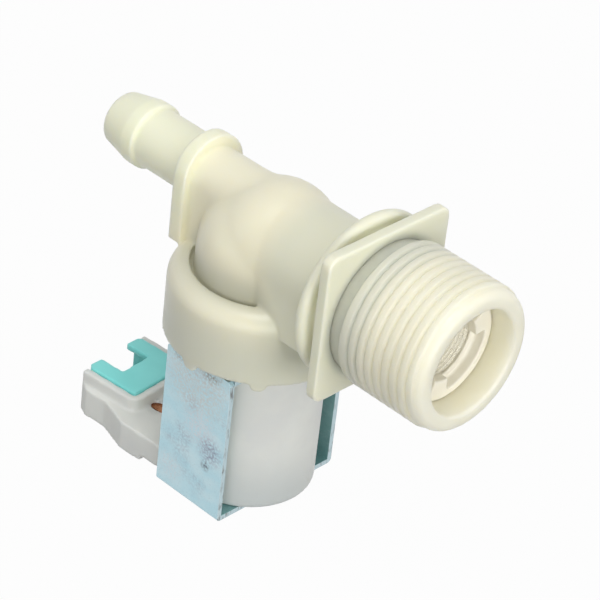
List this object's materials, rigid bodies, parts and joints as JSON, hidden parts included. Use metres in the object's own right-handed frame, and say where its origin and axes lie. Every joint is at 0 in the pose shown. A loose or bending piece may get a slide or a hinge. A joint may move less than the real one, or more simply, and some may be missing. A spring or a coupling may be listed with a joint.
{
  "type": "washing machine inlet valve",
  "caption": "Solenoid water inlet valve for a washing machine, with a threaded inlet, a hose barb, a coil in a steel yoke and a plug socket.",
  "frame": {"origin": "on the inlet axis, in the middle of the thread, 10.8 mm in front of the square flange", "axes": "+X along the inlet towards the thread's mouth, +Z parallel to the coil axis and away from the coil; the hose barb points to -X"},
  "size_m": [0.0835, 0.0332, 0.0653],
  "materials": {
    "natural_plastic": "moulded natural nylon, waxy",
    "mesh_plastic": "fine woven mesh",
    "white_plastic": "moulded, satin",
    "teal_plastic": "moulded, satin",
    "dark_rubber": "moulded",
    "stainless_steel": "turned",
    "zinc_steel": "blue zinc plate, scuffed",
    "copper_wire": "enamelled wire",
    "tinned_brass": "stamped"
  },
  "bodies": {
    "root": {"valve_body": "natural_plastic", "filter_frame": "natural_plastic", "filter_mesh": "mesh_plastic", "flow_holder": "white_plastic", "flow_washer": "dark_rubber", "diaphragm": "dark_rubber", "bonnet": "white_plastic", "plunger_spring": "stainless_steel", "pole_sleeve_upper": "zinc_steel", "pole_sleeve_lower": "zinc_steel", "coil_bobbin": "teal_plastic", "coil_winding": "copper_wire", "coil_overmould": "white_plastic", "terminal_near": "tinned_brass", "terminal_far": "tinned_brass", "yoke_frame": "zinc_steel", "yoke_top_plate": "zinc_steel"},
    "plunger": {"plunger": "stainless_steel", "plunger_seal": "dark_rubber"},
    "diaphragm_insert": {"diaphragm_insert": "white_plastic"}
  },
  "joints": [
    {"name": "plunger_slide", "type": "slide", "parent": "root", "child": "plunger", "axis": [0, 0, -1], "range_m": [0, 0.0035], "stiffness_N_per_m": 150, "springref_m": -0.006, "deforming": ["plunger_spring"]},
    {"name": "diaphragm_lift", "type": "slide", "parent": "root", "child": "diaphragm_insert", "axis": [0, 0, -1], "range_m": [0, 0.0021], "deforming": ["diaphragm"]}
  ],
  "couplings": [
    {"joint": "diaphragm_lift", "follows": "plunger_slide", "ratio": 0.6}
  ]
}
